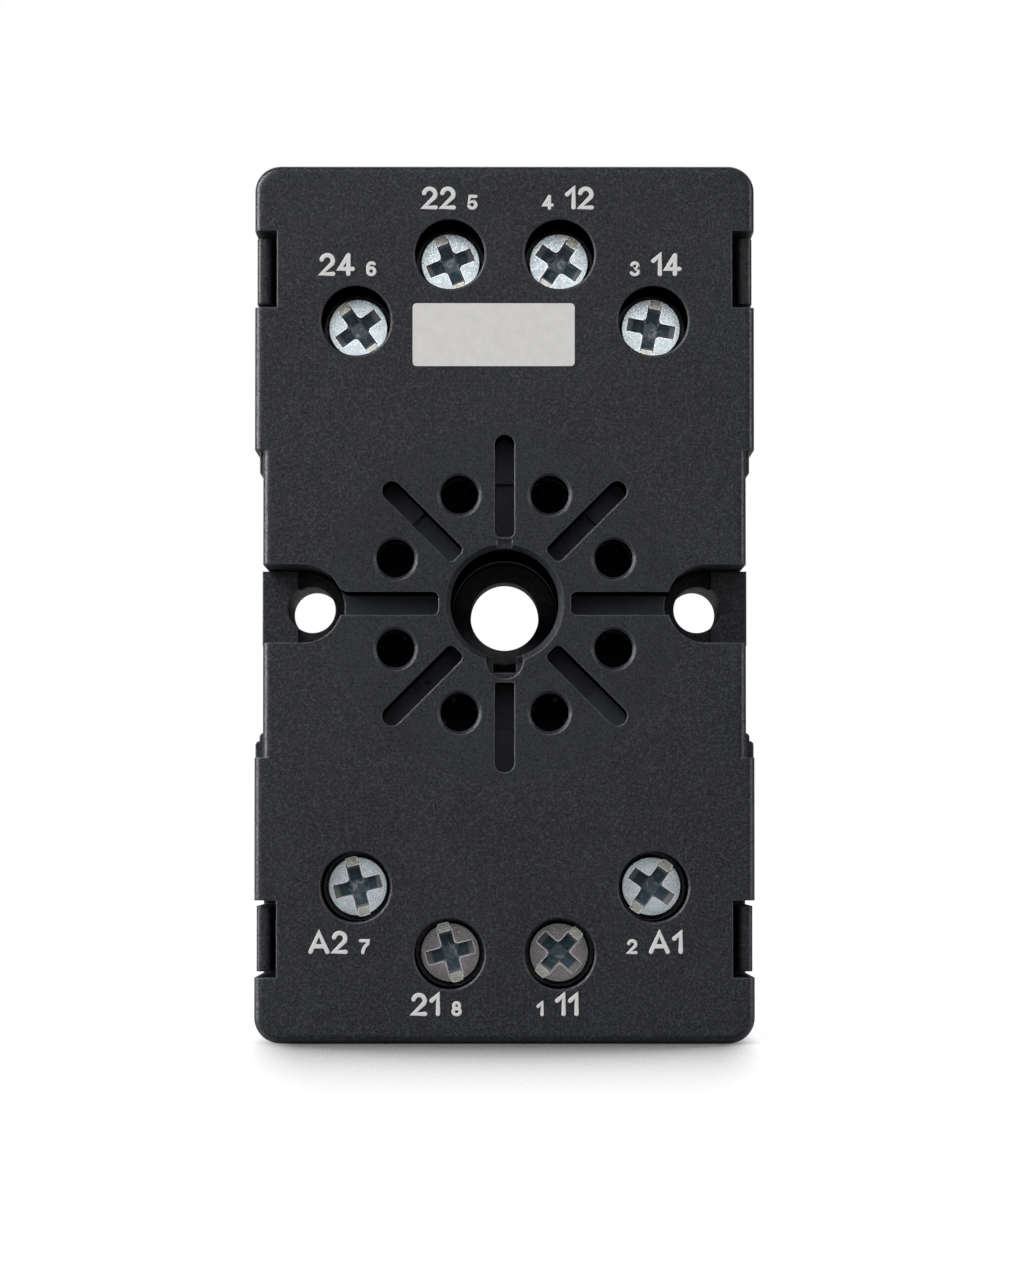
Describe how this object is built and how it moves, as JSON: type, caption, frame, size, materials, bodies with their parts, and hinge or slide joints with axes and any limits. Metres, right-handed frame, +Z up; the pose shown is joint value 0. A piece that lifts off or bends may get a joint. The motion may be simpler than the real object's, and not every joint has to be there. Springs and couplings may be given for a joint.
{
  "type": "relay socket",
  "caption": "Black plug-in relay socket with a round keyed pin seat, screw clamp terminals at both ends, a groove for a 35 mm rail and ears for panel screws.",
  "frame": {"origin": "on the guide hole's axis, in the plane where the rail seats", "axes": "+X to the right across the socket seen from the front, +Y from the front to the rear, +Z up along its length"},
  "size_m": [0.037, 0.0245, 0.065],
  "materials": {
    "cover_plastic": "black moulded plastic with a fine texture",
    "base_plastic": "black moulded plastic",
    "catch_plastic": "black moulded plastic",
    "print_grey": "light grey pad-printed ink",
    "spring_steel": "drawn spring wire",
    "contact_brass": "rolled and stamped strip",
    "clamp_steel": "zinc-plated",
    "screw_zinc": "blue-white zinc plate"
  },
  "bodies": {
    "socket": {"front_cover": "cover_plastic", "rear_base": "base_plastic", "catch_spring": "spring_steel", "contact_1": "contact_brass", "contact_2": "contact_brass", "contact_3": "contact_brass", "contact_4": "contact_brass", "contact_5": "contact_brass", "contact_6": "contact_brass", "contact_7": "contact_brass", "contact_8": "contact_brass"},
    "catch": {"rail_catch": "catch_plastic"},
    "clamp_1": {"clamp_plate_1": "clamp_steel"},
    "screw_1": {"terminal_screw_1": "screw_zinc"},
    "clamp_2": {"clamp_plate_2": "clamp_steel"},
    "screw_2": {"terminal_screw_2": "screw_zinc"},
    "clamp_3": {"clamp_plate_3": "clamp_steel"},
    "screw_3": {"terminal_screw_3": "screw_zinc"},
    "clamp_4": {"clamp_plate_4": "clamp_steel"},
    "screw_4": {"terminal_screw_4": "screw_zinc"},
    "clamp_5": {"clamp_plate_5": "clamp_steel"},
    "screw_5": {"terminal_screw_5": "screw_zinc"},
    "clamp_6": {"clamp_plate_6": "clamp_steel"},
    "screw_6": {"terminal_screw_6": "screw_zinc"},
    "clamp_7": {"clamp_plate_7": "clamp_steel"},
    "screw_7": {"terminal_screw_7": "screw_zinc"},
    "clamp_8": {"clamp_plate_8": "clamp_steel"},
    "screw_8": {"terminal_screw_8": "screw_zinc"}
  },
  "joints": [
    {"name": "catch_slide", "type": "slide", "parent": "socket", "child": "catch", "axis": [0, 0, -1], "range_m": [0, 0.002], "stiffness_N_per_m": 600, "springref_m": -0.003, "deforming": ["catch_spring"]},
    {"name": "clamp_slide_1", "type": "slide", "parent": "socket", "child": "clamp_1", "axis": [0, 1, 0], "range_m": [0, 0.003]},
    {"name": "screw_turn_1", "type": "hinge", "parent": "clamp_1", "child": "screw_1", "pos_m": [0.00407, 0, -0.0259], "axis": [0, 1, 0], "range_deg": [0, 2160]},
    {"name": "clamp_slide_2", "type": "slide", "parent": "socket", "child": "clamp_2", "axis": [0, 1, 0], "range_m": [0, 0.003]},
    {"name": "screw_turn_2", "type": "hinge", "parent": "clamp_2", "child": "screw_2", "pos_m": [0.011, 0, -0.02096], "axis": [0, 1, 0], "range_deg": [0, 2160]},
    {"name": "clamp_slide_3", "type": "slide", "parent": "socket", "child": "clamp_3", "axis": [0, 1, 0], "range_m": [0, 0.003]},
    {"name": "screw_turn_3", "type": "hinge", "parent": "clamp_3", "child": "screw_3", "pos_m": [0.011, 0, 0.02096], "axis": [0, 1, 0], "range_deg": [0, 2160]},
    {"name": "clamp_slide_4", "type": "slide", "parent": "socket", "child": "clamp_4", "axis": [0, 1, 0], "range_m": [0, 0.003]},
    {"name": "screw_turn_4", "type": "hinge", "parent": "clamp_4", "child": "screw_4", "pos_m": [0.00407, 0, 0.0259], "axis": [0, 1, 0], "range_deg": [0, 2160]},
    {"name": "clamp_slide_5", "type": "slide", "parent": "socket", "child": "clamp_5", "axis": [0, 1, 0], "range_m": [0, 0.003]},
    {"name": "screw_turn_5", "type": "hinge", "parent": "clamp_5", "child": "screw_5", "pos_m": [-0.00407, 0, 0.0259], "axis": [0, 1, 0], "range_deg": [0, 2160]},
    {"name": "clamp_slide_6", "type": "slide", "parent": "socket", "child": "clamp_6", "axis": [0, 1, 0], "range_m": [0, 0.003]},
    {"name": "screw_turn_6", "type": "hinge", "parent": "clamp_6", "child": "screw_6", "pos_m": [-0.011, 0, 0.02096], "axis": [0, 1, 0], "range_deg": [0, 2160]},
    {"name": "clamp_slide_7", "type": "slide", "parent": "socket", "child": "clamp_7", "axis": [0, 1, 0], "range_m": [0, 0.003]},
    {"name": "screw_turn_7", "type": "hinge", "parent": "clamp_7", "child": "screw_7", "pos_m": [-0.011, 0, -0.02096], "axis": [0, 1, 0], "range_deg": [0, 2160]},
    {"name": "clamp_slide_8", "type": "slide", "parent": "socket", "child": "clamp_8", "axis": [0, 1, 0], "range_m": [0, 0.003]},
    {"name": "screw_turn_8", "type": "hinge", "parent": "clamp_8", "child": "screw_8", "pos_m": [-0.00407, 0, -0.0259], "axis": [0, 1, 0], "range_deg": [0, 2160]}
  ],
  "couplings": [
    {"joint": "screw_turn_1", "follows": "clamp_slide_1", "rad_per_m": 12566},
    {"joint": "screw_turn_2", "follows": "clamp_slide_2", "rad_per_m": 12566},
    {"joint": "screw_turn_3", "follows": "clamp_slide_3", "rad_per_m": 12566},
    {"joint": "screw_turn_4", "follows": "clamp_slide_4", "rad_per_m": 12566},
    {"joint": "screw_turn_5", "follows": "clamp_slide_5", "rad_per_m": 12566},
    {"joint": "screw_turn_6", "follows": "clamp_slide_6", "rad_per_m": 12566},
    {"joint": "screw_turn_7", "follows": "clamp_slide_7", "rad_per_m": 12566},
    {"joint": "screw_turn_8", "follows": "clamp_slide_8", "rad_per_m": 12566}
  ]
}
